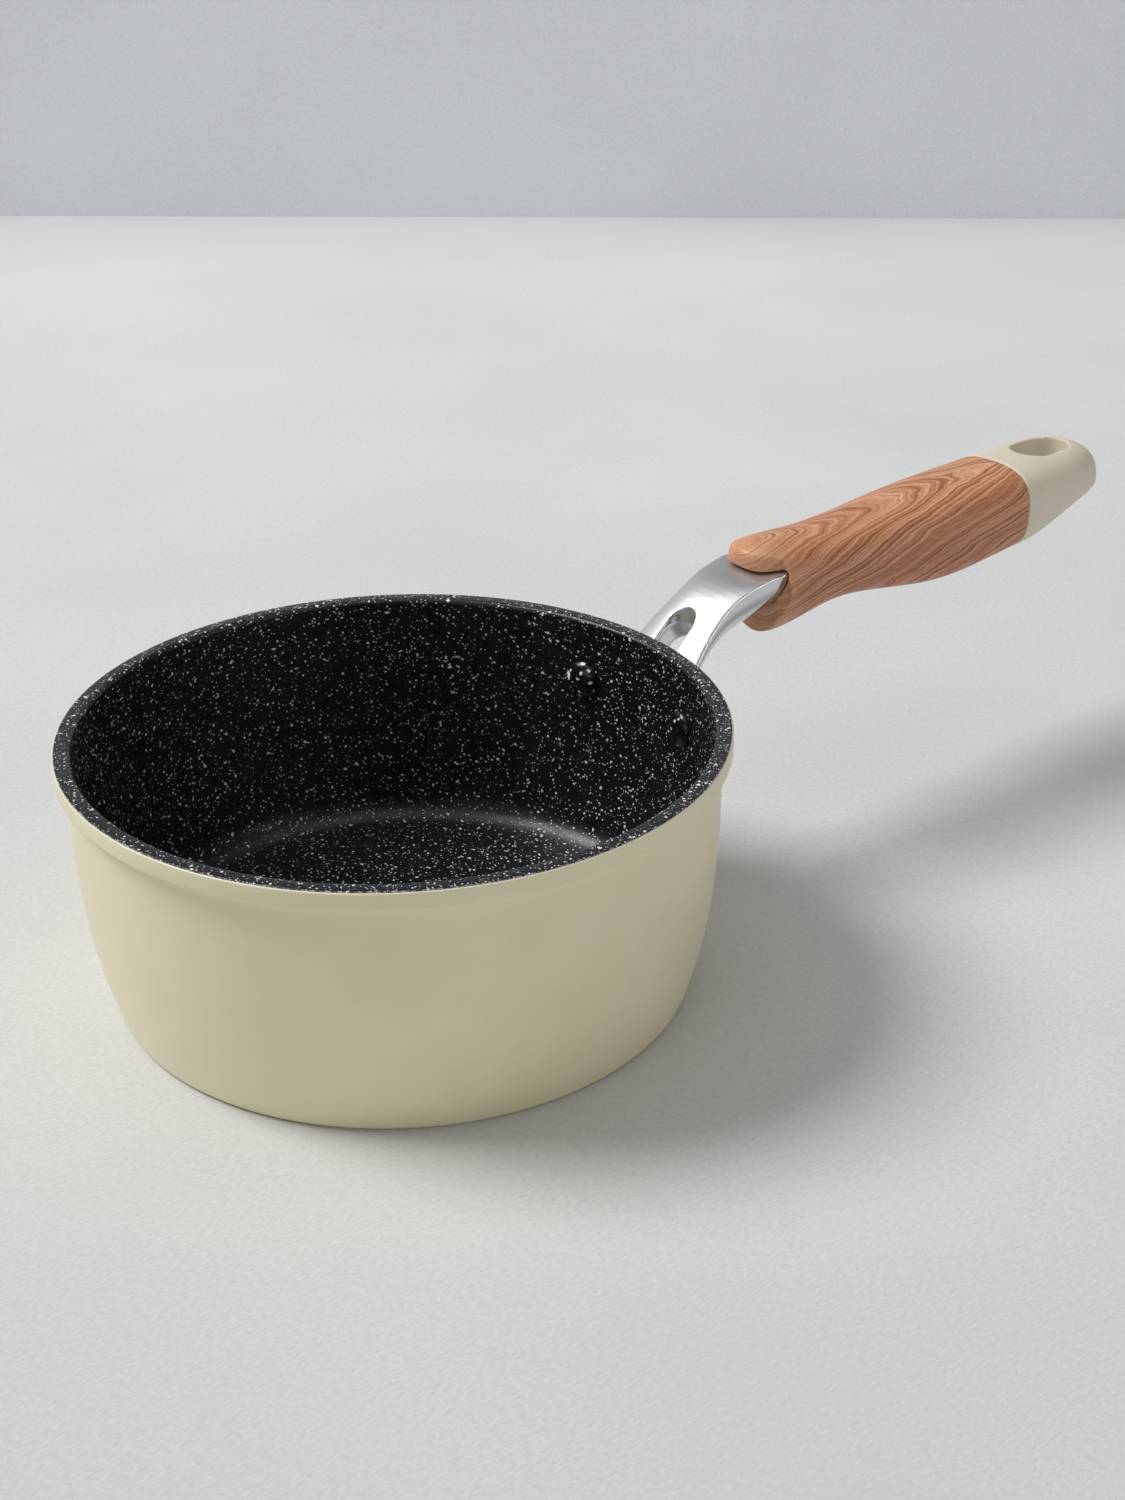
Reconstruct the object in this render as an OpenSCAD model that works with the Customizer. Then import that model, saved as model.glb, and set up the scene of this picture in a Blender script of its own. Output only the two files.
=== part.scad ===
// Small cast saucepan with a riveted fork bracket and a two-piece handle.
// Millimetres, +Z up, handle along +X. The origin is the centre of the underside.

/* [Pan] */
// Outside diameter of the rim
rim_d = 188; // [150:1:230]
// Height from the underside to the top of the rim
pan_h = 78; // [64:1:110]
// Thickness of the side wall
wall_t = 1.8; // [1.4:0.1:4]
// Thickness of the floor
base_t = 4.5; // [3.5:0.1:7]
// How far the wall draws in between the rim band and the foot
wall_draw = 8.5; // [4:0.5:14]
// Height of the band round the rim
band_h = 5.7; // [4:0.1:8]
// How far the band stands out from the wall
band_reach = 3; // [1.5:0.1:4]
// Radius on the inner edge of the rim
lip_r = 1; // [0.6:0.1:1.6]
// Radius between the floor and the wall, inside
floor_corner_r = 10; // [5:0.5:16]
// Radius of the corner at the foot
foot_corner_r = 2; // [1:0.1:4]
// Bare edge left round the top of the rim
rim_edge = 0.5; // [0.3:0.1:0.8]
// Thickness of the non-stick lining
lining_t = 0.4; // [0.2:0.1:0.8]

/* [Induction plate] */
// Width of the ring that the pan stands on, round the plate
foot_w = 15; // [8:0.5:24]
// Thickness of the plate
plate_t = 0.8; // [0.5:0.1:1.2]
// Diameter of each keying hole
key_hole_d = 6; // [3:0.5:8]
// Number of rings of keying holes
key_rings = 3; // [1:1:3]

/* [Rivets] */
// Distance between the two rivets
rivet_spacing = 47; // [42:1:52]
// Depth of the rivets below the rim
rivet_drop = 20; // [18.5:0.5:24]
// Diameter of the shank
rivet_d = 5; // [4:0.5:6]
// Diameter of the head inside the pan
rivet_head_d = 12; // [9:0.5:13]
// Height of the head inside the pan
rivet_head_h = 2.5; // [1.5:0.1:3.5]
// Diameter of the closed end on the bracket
rivet_tail_d = 9.5; // [7:0.5:12]
// Height of the closed end on the bracket
rivet_tail_h = 1.8; // [1:0.1:3]

/* [Bracket] */
// Thickness of the curved pad
pad_t = 3.5; // [2.5:0.5:5]
// Height of the pad
pad_h = 20; // [16:0.5:22]
// Distance from a rivet to the end of the pad
pad_margin = 8; // [7:0.5:12]
// Width of the neck
neck_w = 21.6; // [19:0.2:24]
// Thickness of the neck where it meets the grip
neck_t = 9.2; // [8:0.1:11]
// Extra thickness at the bend, above and below
neck_swell = 1.5; // [0:0.1:2]
// Thickness of each leg where it joins the pad
leg_t = 5.6; // [4.5:0.1:7]
// Distance from a rivet to the side of the leg beside it
leg_clear = 6.5; // [6:0.5:9]
// Width of the opening between the legs
fork_gap = 9.8; // [6:0.2:11]
// Distance from the rim to the closed end of the opening
fork_reach = 15.5; // [12:0.5:17]
// Height of the handle's centre line above the rim
handle_rise = 8.5; // [4:0.5:12]
// Width of the tang inside the grip
tang_w = 13; // [10:0.5:15]
// Height of the tang
tang_h = 9; // [8.5:0.1:11]
// Length of the tang
tang_len = 40; // [30:1:55]

/* [Grip] */
// Distance from the rim to the mouth of the grip
mouth_reach = 41; // [36:1:50]
// Length of the grip from its mouth to the seam
grip_len = 108; // [90:1:135]
// Depth of the open mouth round the neck
mouth_depth = 12; // [8:0.5:14]
// Height of the grip's top above the centre line, at its mouth
mouth_top = 12.4; // [10:0.2:15]
// Width of the grip at its waist
waist_w = 28.5; // [26:0.5:34]
// Width of the grip at the seam
seam_w = 34; // [30:0.5:38]
// Height of the grip's top above the centre line, at the waist
waist_top = 10.4; // [9:0.2:14]
// Height of the grip's top above the centre line, at the seam
seam_top = 13.6; // [12:0.2:15]
// Depth of the finger guard below the centre line
guard_drop = 18.2; // [16:0.1:20]
// Depth of the waist below the centre line
waist_drop = 13.2; // [11:0.1:16]
// Depth of the belly below the centre line
belly_drop = 18.3; // [15:0.1:21]
// Depth of the grip below the centre line at the seam
seam_drop = 15; // [13:0.1:17]
// Thickness of the wall round the mouth
mouth_wall = 3; // [2.4:0.1:3.2]
// Width of the tongue that covers the neck
tongue_w = 17; // [12:0.5:19]
// How far the tongue reaches past the mouth
tongue_len = 6.5; // [4:0.5:10]

/* [End cap] */
// Length of the cap behind the seam
cap_len = 47; // [44:1:60]
// How far the cap's top climbs towards its tip
cap_climb = 1; // [0:0.1:2]
// Depth of the cap below the centre line, at its tip
tip_drop = 3; // [2:0.5:6]
// Length of the hanging hole
hang_len = 22; // [16:0.5:24]
// Width of the hanging hole
hang_w = 14.4; // [9:0.2:15]
// Distance from the seam to the near end of the hanging hole
hang_start = 11.8; // [11:0.2:14]
// Width of the spigot that fits in the grip
spigot_w = 20; // [16:0.5:22]
// Height of the spigot
spigot_h = 17; // [14:0.5:18]
// Length of the spigot
spigot_len = 8; // [5:0.5:10]

/* [Tie rod] */
// Diameter of the rod
rod_d = 6; // [5:0.5:6]
// Depth of the tapped hole in the tang
rod_grip_len = 20; // [15:1:25]
// Diameter of the nut's head
nut_head_d = 10; // [9.5:0.1:11]
// Thickness of the nut's head
nut_head_t = 2.6; // [2:0.1:3]
// Diameter of the nut's sleeve
nut_sleeve_d = 8; // [7.6:0.1:8.6]
// Length of the nut's sleeve
nut_sleeve_len = 11; // [8:0.5:13]
// Width across the flats of the key socket
key_socket_w = 4; // [3:0.5:4]
// Depth of the key socket
key_socket_depth = 2; // [1.5:0.1:2.2]
// Thickness of the flat washer
flat_washer_t = 1; // [0.8:0.1:1.2]
// Thickness of the spring washer
spring_washer_t = 1.4; // [1:0.1:1.6]

/* [Fits] */
// Gap between the bracket's pad and the wall
seat_gap = 0.05; // [0.02:0.01:0.2]
// Radial gap round a rivet's shank
rivet_gap = 0.05; // [0.02:0.01:0.2]
// Gap round the tang, the spigot and the plate
socket_gap = 0.15; // [0.1:0.05:0.3]
// Gap above the neck, under the tongue
neck_gap = 0.6; // [0.3:0.1:1]
// Gap below the neck, in the mouth
neck_low_gap = 0.8; // [0.6:0.1:1.5]
// Gap at each side of the neck, in the mouth
neck_side_gap = 0.7; // [0.3:0.1:1.5]
// Radial gap in a tapped hole
thread_gap = 0.03; // [0.02:0.01:0.1]
// Gap between the grip and the end cap at the seam
seam_gap = 0.1; // [0.05:0.05:0.3]

/* [Hidden] */
$fn = 72;

// Pan
rim_r = rim_d / 2;
wall_r = rim_r - band_reach;
band_z = pan_h - band_h;
body_top = pan_h - lining_t;
foot_lean = wall_lean(foot_corner_r);
foot_top = foot_corner_r * (1 - sin(foot_lean));
foot_r = outer_r(foot_top) - foot_corner_r * cos(foot_lean);
recess_r = foot_r - foot_w;
plate_r = recess_r - socket_gap;
wall_steps = 14;
arc_steps = 8;

// Rivets
rivet_z = pan_h - rivet_drop;
rivet_wall_r = outer_r(rivet_z);
rivet_angle = asin(rivet_spacing / 2 / rivet_wall_r);
rivet_inner_r = rivet_wall_r - wall_t - lining_t;
rivet_head_seat = sqrt(pow(rivet_inner_r, 2) - pow(rivet_head_d / 2, 2));
rivet_tail_seat = rivet_wall_r + seat_gap + pad_t;
rivet_overrun = 10;

// Handle
axis_z = pan_h + handle_rise;
pad_w = rivet_spacing + 2 * pad_margin;
fork_w = rivet_spacing - 2 * leg_clear;
pocket_w = neck_w + 2 * neck_side_gap;
mouth_w = pocket_w + 2 * mouth_wall;
mouth_x = rim_r + mouth_reach;
pocket_x = mouth_x + mouth_depth;
tang_x = pocket_x + tang_len;
seam_x = mouth_x + grip_len;
tip_x = seam_x + cap_len;
tongue_x = mouth_x - tongue_len;
fork_end_x = rim_r + fork_reach;
neck_top = axis_z + neck_t / 2;
leg_start_z = rivet_z + 2;
leg_run = 12;
leg_climb = 0.55 * (axis_z - leg_start_z);
bend_run = 7.5;
neck_rings = 16;
neck_points = 28;
grip_points = 32;
grip_step = 5;
cap_rings = 16;
far = 60;

// Tie rod
rod_x = tang_x - rod_grip_len;
washer_x = seam_x + hang_start - nut_head_t - spring_washer_t - flat_washer_t - 1;
nut_x = washer_x + flat_washer_t + spring_washer_t;
rod_end_x = nut_x - key_socket_depth;
head_bore_r = nut_head_d / 2 + socket_gap;

// Outside radius of the wall at height z
function outer_r(z) = wall_r - wall_draw * pow(1 - z / band_z, 3);

// Angle of the wall from the vertical at height z
function wall_lean(z) = atan(3 * wall_draw / band_z * pow(1 - z / band_z, 2));

// Points on an arc in the plane, from angle a to angle b
function arc(cx, cy, r, a, b, n) =
    [for (i = [0 : n]) let (q = a + (b - a) * i / n) [cx + r * cos(q), cy + r * sin(q)]];

// Signed power, for the rounded sections
function spow(v, e) = sign(v) * pow(abs(v), e);

// List in the opposite order
function flip(list) = [for (i = [len(list) - 1 : -1 : 0]) list[i]];

// Height of a smooth curve through the keys [x, y], at x
function slope(keys, i) =
    let (a = keys[max(i - 1, 0)], b = keys[min(i + 1, len(keys) - 1)])
    (b[1] - a[1]) / (b[0] - a[0]);
function segment(keys, x) =
    max([for (i = [0 : len(keys) - 2]) (i == 0 || x >= keys[i][0]) ? i : 0]);
function smooth(keys, x) =
    let (i = segment(keys, x), a = keys[i], b = keys[i + 1], w = b[0] - a[0],
         t = (x - a[0]) / w, m = slope(keys, i) * w, n = slope(keys, i + 1) * w)
    a[1] * (2 * t * t * t - 3 * t * t + 1) + m * (t * t * t - 2 * t * t + t)
    + b[1] * (3 * t * t - 2 * t * t * t) + n * (t * t * t - t * t);

// Solid skin over rings that all have the same number of points
module loft(rings) {
    k = len(rings[0]);
    last = len(rings) - 1;
    points = [for (ring = rings) for (p = ring) p];
    sides = [for (r = [0 : last - 1]) for (i = [0 : k - 1])
        let (a = r * k + i, b = r * k + (i + 1) % k)
        each [[a, a + k, b], [b, a + k, b + k]]];
    caps = [[for (i = [0 : k - 1]) i], [for (i = [k - 1 : -1 : 0]) last * k + i]];
    polyhedron(points, concat(sides, caps), convexity = 8);
}

// Flat outline with two round ends, along x
module stadium(length, width) {
    square([length - width, width], center = true);
    for (side = [-1, 1]) translate([side * (length - width) / 2, 0]) circle(d = width);
}

// Rectangle with round corners
module round_rect(width, height, r) {
    square([width - 2 * r, height], center = true);
    square([width, height - 2 * r], center = true);
    for (i = [-1, 1], j = [-1, 1])
        translate([i * (width / 2 - r), j * (height / 2 - r)]) circle(r);
}

// Bar along x with an outline in the y-z plane
module bar(x0, x1) {
    translate([x0, 0, 0]) rotate([90, 0, 90]) linear_extrude(x1 - x0) children();
}

// Cylinder along x on the handle's centre line
module rod(x0, x1, r) {
    translate([x0, 0, axis_z]) rotate([0, 90, 0]) cylinder(h = x1 - x0, r = r);
}

// Inner face of the pan, moved in by t, from the middle of the floor to the rim's edge
function inner_face(t) =
    let (lean = wall_lean(base_t + floor_corner_r),
         z0 = base_t + floor_corner_r * (1 - sin(lean)),
         cx = outer_r(z0) - wall_t - floor_corner_r * cos(lean),
         lip_x = outer_r(body_top) - wall_t + lip_r,
         z1 = body_top - lip_r)
    concat([[0, base_t + t]],
           arc(cx, base_t + floor_corner_r, floor_corner_r - t, -90, -lean, arc_steps),
           [for (i = [1 : wall_steps - 1])
               let (z = z0 + (z1 - z0) * i / wall_steps) [outer_r(z) - wall_t - t, z]],
           arc(lip_x, z1, lip_r + t, 180, 90, arc_steps),
           [[rim_r - rim_edge, body_top + t]]);

// Outer face of the pan, from the plate recess to the rim's edge
function outer_face() =
    concat([[0, plate_t], [recess_r, plate_t], [recess_r, 0]],
           arc(foot_r, foot_corner_r, foot_corner_r, -90, -foot_lean, arc_steps),
           [for (i = [1 : wall_steps])
               let (z = foot_top + (band_z - foot_top) * i / wall_steps) [outer_r(z), z]],
           [[rim_r - rim_edge, band_z], [rim_r, band_z + rim_edge],
            [rim_r, body_top - rim_edge]]);

module rivet_bores() {
    for (side = [-1, 1])
        rotate([0, 0, side * rivet_angle])
            translate([rivet_wall_r - rivet_overrun, 0, rivet_z])
                rotate([0, 90, 0])
                    cylinder(h = 2 * rivet_overrun, d = rivet_d + 2 * rivet_gap);
}

module pan_body() {
    color("#d9d3b4")
    difference() {
        rotate_extrude() polygon(concat(outer_face(), flip(inner_face(0))));
        rivet_bores();
    }
}

module nonstick_lining() {
    color("#26282c")
    difference() {
        rotate_extrude() polygon(concat(inner_face(0), flip(inner_face(lining_t))));
        rivet_bores();
    }
}

module induction_plate() {
    ring_gap = plate_r / (key_rings + 1);
    color("#b9bcbe")
    difference() {
        cylinder(h = plate_t, r = plate_r);
        for (ring = [1 : key_rings], i = [0 : 8 * ring - 1])
            rotate([0, 0, 45 * i / ring])
                translate([ring * ring_gap, 0, -plate_t])
                    cylinder(h = 3 * plate_t, d = key_hole_d, $fn = 24);
    }
}

// Outline of a rivet, as [radius, distance along its axis]
function rivet_outline() =
    let (head = rivet_head_d / 2, tail = rivet_tail_d / 2,
         head_ball = (head * head / rivet_head_h + rivet_head_h) / 2,
         tail_ball = (tail * tail / rivet_tail_h + rivet_tail_h) / 2,
         head_arc = asin(head / head_ball), tail_arc = asin(tail / tail_ball))
    concat(arc(0, rivet_head_seat - rivet_head_h + head_ball, head_ball,
               -90, head_arc - 90, arc_steps),
           [[rivet_d / 2, rivet_head_seat], [rivet_d / 2, rivet_tail_seat]],
           arc(0, rivet_tail_seat + rivet_tail_h - tail_ball, tail_ball,
               90 - tail_arc, 90, arc_steps));

module rivet(side) {
    color("#2c2e32")
    rotate([0, 0, side * rivet_angle])
        translate([0, 0, rivet_z])
            rotate([0, 90, 0]) rotate_extrude() polygon(rivet_outline());
}

module rivet_left() {
    rivet(1);
}

module rivet_right() {
    rivet(-1);
}

// Centre line of the legs and neck, a curve from the pad to the mouth's floor
function neck_curve() =
    let (start = [wall_r, leg_start_z], finish = [pocket_x, axis_z])
    [start, start + [leg_run, leg_climb], [fork_end_x + bend_run, axis_z], finish];
function bezier(p, t) =
    pow(1 - t, 3) * p[0] + 3 * pow(1 - t, 2) * t * p[1]
    + 3 * (1 - t) * t * t * p[2] + t * t * t * p[3];
function bezier_angle(p, t) =
    let (d = pow(1 - t, 2) * (p[1] - p[0]) + 2 * (1 - t) * t * (p[2] - p[1])
         + t * t * (p[3] - p[2]))
    atan2(d[1], d[0]);

// Cross-section of the neck at t, square to its centre line
function neck_ring(t) =
    let (p = neck_curve(), c = bezier(p, t), tilt = bezier_angle(p, t),
         flare = pow(max(0, 1 - 2 * t), 1.3),
         half_w = neck_w / 2 + (fork_w - neck_w) / 2 * flare,
         swell = neck_swell * pow(sin(180 * pow(t, 1.5)), 2),
         half_t = leg_t / 2 + (neck_t - leg_t) / 2 * min(1, 1.4 * t) + swell)
    [for (i = [0 : neck_points - 1])
        let (a = 360 * i / neck_points, q = half_t * spow(sin(a), 2 / 2.8))
        [c[0] - q * sin(tilt), half_w * spow(cos(a), 2 / 2.8), c[1] + q * cos(tilt)]];

module pad() {
    low = rivet_z - pad_h / 2;
    high = rivet_z + pad_h / 2;
    steps = 6;
    heights = [for (i = [0 : steps]) low + (high - low) * i / steps];
    intersection() {
        rotate_extrude() polygon(concat(
            [for (z = heights) [outer_r(z) + seat_gap, z]],
            [for (z = flip(heights)) [outer_r(z) + seat_gap + pad_t, z]]));
        translate([0, 0, rivet_z]) bar(rim_r / 2, rim_r + pad_t) stadium(pad_w, pad_h);
    }
}

module handle_bracket() {
    wall_low = leg_start_z - pad_h;
    color("#c9ccd0")
    difference() {
        union() {
            pad();
            loft([for (i = [0 : neck_rings]) neck_ring(i / neck_rings)]);
            bar(pocket_x - 1, tang_x)
                translate([0, axis_z]) round_rect(tang_w, tang_h, 1.5);
        }
        translate([0, 0, wall_low])
            cylinder(h = band_z - wall_low, r = wall_r + seat_gap);
        hull() {
            translate([fork_end_x - fork_gap / 2, 0, wall_low]) cylinder(h = far, d = fork_gap);
            translate([wall_r + pad_t, -fork_gap / 2, rivet_z + pad_h / 2])
                cube([1, fork_gap, far / 2]);
        }
        rivet_bores();
        rod(rod_x, tang_x + 1, rod_d / 2 + thread_gap);
    }
}

// Edges of the grip, as keys of distance from the mouth and height or half width
waist_u = 0.27 * grip_len;
belly_u = 0.68 * grip_len;
guard_u = 3;
top_keys = [[-tongue_len, waist_top], [0, mouth_top], [waist_u, waist_top],
            [belly_u, seam_top - 1], [grip_len, seam_top]];
bottom_keys = [[-tongue_len, guard_drop - 3], [guard_u, guard_drop], [waist_u, waist_drop],
               [belly_u, belly_drop], [grip_len, seam_drop]];
width_keys = [[-tongue_len, mouth_w / 2 - 1], [0, mouth_w / 2], [waist_u, waist_w / 2],
              [belly_u, seam_w / 2], [grip_len, seam_w / 2]];

// Squareness of the grip's section, as keys of distance from the mouth
square_keys = [[-tongue_len, 1.9], [0, 1.9], [waist_u, 2.45], [belly_u, 2.7], [grip_len, 2.9]];

// Rounded section across the handle at x: half width, rise, drop and squareness
function handle_ring(x, half_w, rise, drop, square_n) =
    [for (i = [0 : grip_points - 1])
        let (a = 360 * i / grip_points, s = spow(sin(a), 2 / square_n))
        [x, half_w * spow(cos(a), 2 / square_n), axis_z + s * (s > 0 ? rise : drop)]];

function grip_ring(u) =
    handle_ring(mouth_x + u, smooth(width_keys, u), smooth(top_keys, u),
                smooth(bottom_keys, u), smooth(square_keys, u));

module grip() {
    count = ceil((grip_len + tongue_len) / grip_step);
    pocket_top = neck_top + neck_gap;
    pocket_low = axis_z - neck_t / 2 - neck_low_gap;
    color("#b5714a")
    difference() {
        loft([for (i = [0 : count])
            grip_ring(-tongue_len + (grip_len - seam_gap + tongue_len) * i / count)]);
        difference() {
            translate([tongue_x - far, -far / 2, axis_z - far / 2])
                cube([far + tongue_len, far, far]);
            translate([tongue_x + far / 2, 0, pocket_top])
                linear_extrude(far) stadium(far, tongue_w);
        }
        translate([0, 0, (pocket_top + pocket_low) / 2])
            bar(mouth_x - 1, pocket_x) round_rect(pocket_w, pocket_top - pocket_low, 3.5);
        bar(mouth_x, tang_x + 2 * socket_gap)
            translate([0, axis_z])
                round_rect(tang_w + 2 * socket_gap, tang_h + 2 * socket_gap, 1.5);
        rod(tang_x, seam_x, rod_d / 2 + socket_gap);
        bar(seam_x - spigot_len - seam_gap, seam_x + 1)
            translate([0, axis_z])
                round_rect(spigot_w + 2 * socket_gap, spigot_h + 2 * socket_gap, 4);
    }
}

// The cap keeps its top level, steps up underneath and ends in a blunt round nose
function cap_ring(q) =
    let (u = sin(90 * q), nose = pow(1 - pow(u, 8), 0.55),
         step = (1 + cos(180 * min(1, u / 0.85))) / 2)
    handle_ring(seam_x + cap_len * u, seam_w / 2 * pow(1 - pow(u, 4), 0.5),
                (seam_top + 1 + cap_climb * (1 - step)) * nose - 1,
                1 + (tip_drop - 1 + (seam_drop - tip_drop) * step) * nose, 2.9 - 0.3 * u);

module end_cap() {
    hang_x = seam_x + hang_start + hang_len / 2;
    color("#d8d2bb")
    difference() {
        union() {
            loft([for (i = [0 : cap_rings]) cap_ring(0.985 * i / cap_rings)]);
            bar(seam_x - spigot_len, seam_x + 1)
                translate([0, axis_z]) round_rect(spigot_w, spigot_h, 4);
        }
        translate([hang_x, 0, axis_z - far / 2]) linear_extrude(far) stadium(hang_len, hang_w);
        rod(seam_x - spigot_len - 1, washer_x + 1, nut_sleeve_d / 2 + socket_gap);
        rod(washer_x, hang_x, head_bore_r);
    }
}

module tie_rod() {
    color("#9a9da1") rod(rod_x + 0.5, rod_end_x, rod_d / 2);
}

module tie_nut() {
    sleeve_x = nut_x - nut_sleeve_len;
    color("#a9acb0")
    difference() {
        union() {
            rod(sleeve_x, nut_x, nut_sleeve_d / 2);
            rod(nut_x, nut_x + nut_head_t, nut_head_d / 2);
        }
        rod(sleeve_x - 1, rod_end_x + 0.5, rod_d / 2 + thread_gap);
        translate([nut_x + nut_head_t - key_socket_depth, 0, axis_z])
            rotate([0, 90, 0])
                cylinder(h = key_socket_depth + 1, d = key_socket_w / cos(30), $fn = 6);
    }
}

module washer(x0, t) {
    difference() {
        rod(x0, x0 + t, nut_head_d / 2);
        rod(x0 - 1, x0 + t + 1, nut_sleeve_d / 2 + socket_gap);
    }
}

module flat_washer() {
    color("#b0b3b6") washer(washer_x, flat_washer_t);
}

module spring_washer() {
    x0 = washer_x + flat_washer_t;
    color("#8f9296")
    difference() {
        washer(x0, spring_washer_t);
        translate([x0 - 1, 0, axis_z]) rotate([20, 0, 0])
            translate([0, 0, -0.4]) cube([spring_washer_t + 2, nut_head_d, 0.8]);
    }
}

pan_body();
nonstick_lining();
induction_plate();
rivet_left();
rivet_right();
handle_bracket();
grip();
end_cap();
tie_rod();
tie_nut();
flat_washer();
spring_washer();
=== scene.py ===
from math import asin, atan, atan2, cos, pi, radians, sin, sqrt
import bmesh
import bpy
from mathutils import Matrix, Vector


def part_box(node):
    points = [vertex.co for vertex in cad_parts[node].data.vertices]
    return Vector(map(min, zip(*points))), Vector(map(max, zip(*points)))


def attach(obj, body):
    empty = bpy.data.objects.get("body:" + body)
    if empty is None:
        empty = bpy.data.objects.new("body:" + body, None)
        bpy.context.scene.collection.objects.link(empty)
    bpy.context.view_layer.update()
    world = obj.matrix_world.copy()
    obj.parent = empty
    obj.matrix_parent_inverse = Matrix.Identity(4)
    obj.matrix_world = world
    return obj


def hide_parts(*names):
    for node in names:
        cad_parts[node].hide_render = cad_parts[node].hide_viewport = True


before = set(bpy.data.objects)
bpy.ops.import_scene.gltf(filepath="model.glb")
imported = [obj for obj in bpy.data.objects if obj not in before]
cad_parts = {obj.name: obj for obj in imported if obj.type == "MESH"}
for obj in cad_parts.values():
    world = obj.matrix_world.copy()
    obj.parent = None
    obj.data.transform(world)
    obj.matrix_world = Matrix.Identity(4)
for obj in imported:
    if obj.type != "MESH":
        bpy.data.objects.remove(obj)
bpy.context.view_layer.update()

# Pieces are shaped in millimetres and scaled to metres when they are finished.
# Origin at the centre of the pan's underside, handle along +X, +Z up.


def highCorner(node):
    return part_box(node)[1] * 1000


panHigh = highCorner("pan_body")
liningHigh = highCorner("nonstick_lining")
plateHigh = highCorner("induction_plate")

pan = {
    "rimRadius": panHigh.x,
    "height": liningHigh.z,
    "wall": 1.8,
    "floor": 4.5,
    "draw": 8.5,            # how far the wall draws in towards the foot
    "bandHeight": 5.7,
    "bandReach": 3.0,
    "lip": 1.0,             # radius on the inner edge of the rim
    "floorCorner": 10.0,
    "footCorner": 2.0,
    "rimEdge": 0.5,
    "coat": 0.4,            # thickness of the lining
    "footReach": 0.35,      # the foot stands out a little at the floor
    "footRise": 1.2,
    "plateGap": 0.15,       # round the induction plate
    "steps": 160,           # round the pan
}
pan["wallRadius"] = pan["rimRadius"] - pan["bandReach"]
pan["bandZ"] = pan["height"] - pan["bandHeight"]
pan["bodyTop"] = pan["height"] - pan["coat"]

handle = {
    "rise": 8.5,            # centre line above the rim
    "mouthReach": 41,       # from the rim to the grip's mouth
}
handleZ = pan["height"] + handle["rise"]
mouthX = pan["rimRadius"] + handle["mouthReach"]


def drawLine(mesh, points, rounds=None):
    # a chain of edges through the points, with some corners rounded
    verts = bmesh.ops.create_vert(mesh, co=points[0])["vert"]
    for point in points[1:]:
        grown = bmesh.ops.extrude_vert_indiv(mesh, verts=[verts[-1]])["verts"]
        grown[0].co = point
        verts.append(grown[0])
    for place, radius in (rounds or {}).items():
        bmesh.ops.bevel(mesh, geom=[verts[place]], offset=radius, offset_type="OFFSET",
                        affect="VERTICES", segments=4, profile=0.5, material=-1)


def spinLine(points, rounds, steps):
    # a line of points turned all the way round the z axis
    mesh = bmesh.new()
    drawLine(mesh, points, rounds)
    bmesh.ops.spin(mesh, geom=mesh.verts[:] + mesh.edges[:], cent=(0, 0, 0), axis=(0, 0, 1),
                   angle=2 * pi, steps=steps, use_merge=True, use_duplicate=False)
    bmesh.ops.remove_doubles(mesh, verts=mesh.verts, dist=0.0005)
    bmesh.ops.recalc_face_normals(mesh, faces=mesh.faces)
    return mesh


def startLoop(mesh, points):
    # the first closed loop of a tube; every point keeps its column number
    column = mesh.verts.layers.int.new("column")
    loop = bmesh.ops.create_circle(mesh, segments=len(points), radius=1)["verts"]
    for place, vert in enumerate(loop):
        vert[column] = place
        vert.co = points[place]
    return loop


def loopEdges(mesh, loop):
    inLoop = set(loop)
    return [edge for edge in mesh.edges
            if edge.verts[0] in inLoop and edge.verts[1] in inLoop]


def nextLoop(mesh, loop, points):
    column = mesh.verts.layers.int["column"]
    made = bmesh.ops.extrude_edge_only(mesh, edges=loopEdges(mesh, loop))["geom"]
    grown = [item for item in made if isinstance(item, bmesh.types.BMVert)]
    for vert in grown:
        vert.co = points[vert[column]]
    return grown


def tube(rings, closeStart=True, closeEnd=True):
    # a skin over rings that all have the same number of points
    mesh = bmesh.new()
    first = loop = startLoop(mesh, rings[0])
    for ring in rings[1:]:
        loop = nextLoop(mesh, loop, ring)
    if closeStart:
        bmesh.ops.edgeloop_fill(mesh, edges=loopEdges(mesh, first))
    if closeEnd:
        bmesh.ops.edgeloop_fill(mesh, edges=loopEdges(mesh, loop))
    bmesh.ops.recalc_face_normals(mesh, faces=mesh.faces)
    return mesh


def stadium(length, width, low, high):
    # an upright block with two round ends, along x
    mesh = bmesh.new()
    made = bmesh.ops.create_circle(mesh, cap_ends=True, segments=64, radius=width / 2)
    for vert in made["verts"]:
        vert.co.x += (length - width) / 2 * (1 if vert.co.x > 0 else -1)
        vert.co.z = low
    grown = bmesh.ops.extrude_face_region(mesh, geom=mesh.faces[:])["geom"]
    top = [item for item in grown if isinstance(item, bmesh.types.BMVert)]
    bmesh.ops.translate(mesh, vec=(0, 0, high - low), verts=top)
    bmesh.ops.recalc_face_normals(mesh, faces=mesh.faces)
    return mesh


def rod(radius, x0, x1, z):
    # a round bar along x
    mesh = bmesh.new()
    turned = Matrix.Rotation(pi / 2, 4, "Y")
    bmesh.ops.create_cone(mesh, cap_ends=True, segments=48, radius1=radius, radius2=radius,
                          depth=x1 - x0, matrix=Matrix.Translation(((x0 + x1) / 2, 0, z)) @ turned)
    return mesh


def looseObject(mesh, name):
    data = bpy.data.meshes.new(name)
    mesh.to_mesh(data)
    mesh.free()
    made = bpy.data.objects.new(name, data)
    bpy.context.collection.objects.link(made)
    return made


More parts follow.
